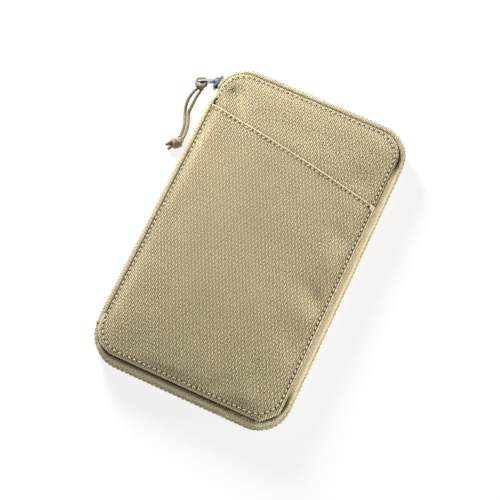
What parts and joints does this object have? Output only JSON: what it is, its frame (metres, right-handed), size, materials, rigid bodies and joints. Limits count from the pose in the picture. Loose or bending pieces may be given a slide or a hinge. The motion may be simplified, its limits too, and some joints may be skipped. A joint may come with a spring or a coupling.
{
  "type": "travel wallet",
  "caption": "Flat canvas travel wallet that zips shut round its sides, with a slanted slip pocket outside and pockets and card slots inside.",
  "frame": {"origin": "centre of the rear panel's outer face", "axes": "+Z out of the front panel, +Y towards the top edge, +X from the spine to the opening side"},
  "size_m": [0.1481, 0.217, 0.017],
  "materials": {
    "canvas": "coarse plain weave canvas",
    "band_canvas": "fine weave canvas",
    "lining": "fine polyester weave",
    "foam_board": "closed-cell foam",
    "zip_tape": "woven tape",
    "zip_coil": "nylon coil",
    "slider_metal": "dark satin coating",
    "tab_metal": "tumbled steel",
    "cord": "round braid"
  },
  "bodies": {
    "rear_cover": {"rear_shell": "canvas", "rear_board": "foam_board", "rear_lining": "lining", "rear_band": "band_canvas", "rear_zip_tape": "zip_tape", "rear_zip_teeth": "zip_coil", "document_pocket": "lining", "passport_pocket": "lining", "coin_pocket": "lining", "coin_zip_tapes": "zip_tape", "coin_zip_teeth": "zip_coil"},
    "coin_zip": {"coin_zip_slider": "slider_metal", "coin_zip_pull": "tab_metal"},
    "spine": {"spine_panel": "band_canvas", "spine_lining": "lining"},
    "front_cover": {"front_shell": "canvas", "slip_pocket": "canvas", "front_board": "foam_board", "front_lining": "lining", "front_band": "band_canvas", "front_zip_tape": "zip_tape", "front_zip_teeth": "zip_coil", "note_pocket": "lining", "card_slot_1": "lining", "card_slot_2": "lining", "card_slot_3": "lining", "card_slot_4": "lining"},
    "zip_slider": {"zip_slider": "slider_metal"},
    "pull_tab": {"pull_tab": "tab_metal", "cord_hitch": "cord", "pull_cord_left": "cord", "pull_cord_right": "cord", "cord_knot": "cord"}
  },
  "joints": [
    {"name": "spine_fold", "type": "hinge", "parent": "rear_cover", "child": "spine", "pos_m": [-0.066, 0, 0], "axis": [0, -1, 0], "range_deg": [0, 90], "deforming": ["pull_cord_left", "pull_cord_right", "cord_knot"]},
    {"name": "cover_fold", "type": "hinge", "parent": "spine", "child": "front_cover", "pos_m": [-0.066, 0, 0.017], "axis": [0, -1, 0], "range_deg": [0, 90]},
    {"name": "zip_run", "type": "hinge", "parent": "front_cover", "child": "zip_slider", "pos_m": [-0.045, 0.0875, 0.0081], "axis": [0, 0, -1], "range_deg": [0, 45]},
    {"name": "tab_swing", "type": "hinge", "parent": "zip_slider", "child": "pull_tab", "pos_m": [-0.06975, 0.09276, 0.0081], "axis": [0, 0, 1], "range_deg": [-110, 5]},
    {"name": "coin_zip_run", "type": "slide", "parent": "rear_cover", "child": "coin_zip", "axis": [-1, 0, 0], "range_m": [0, 0.066]}
  ],
  "couplings": [
    {"joint": "cover_fold", "follows": "spine_fold", "ratio": 1}
  ]
}
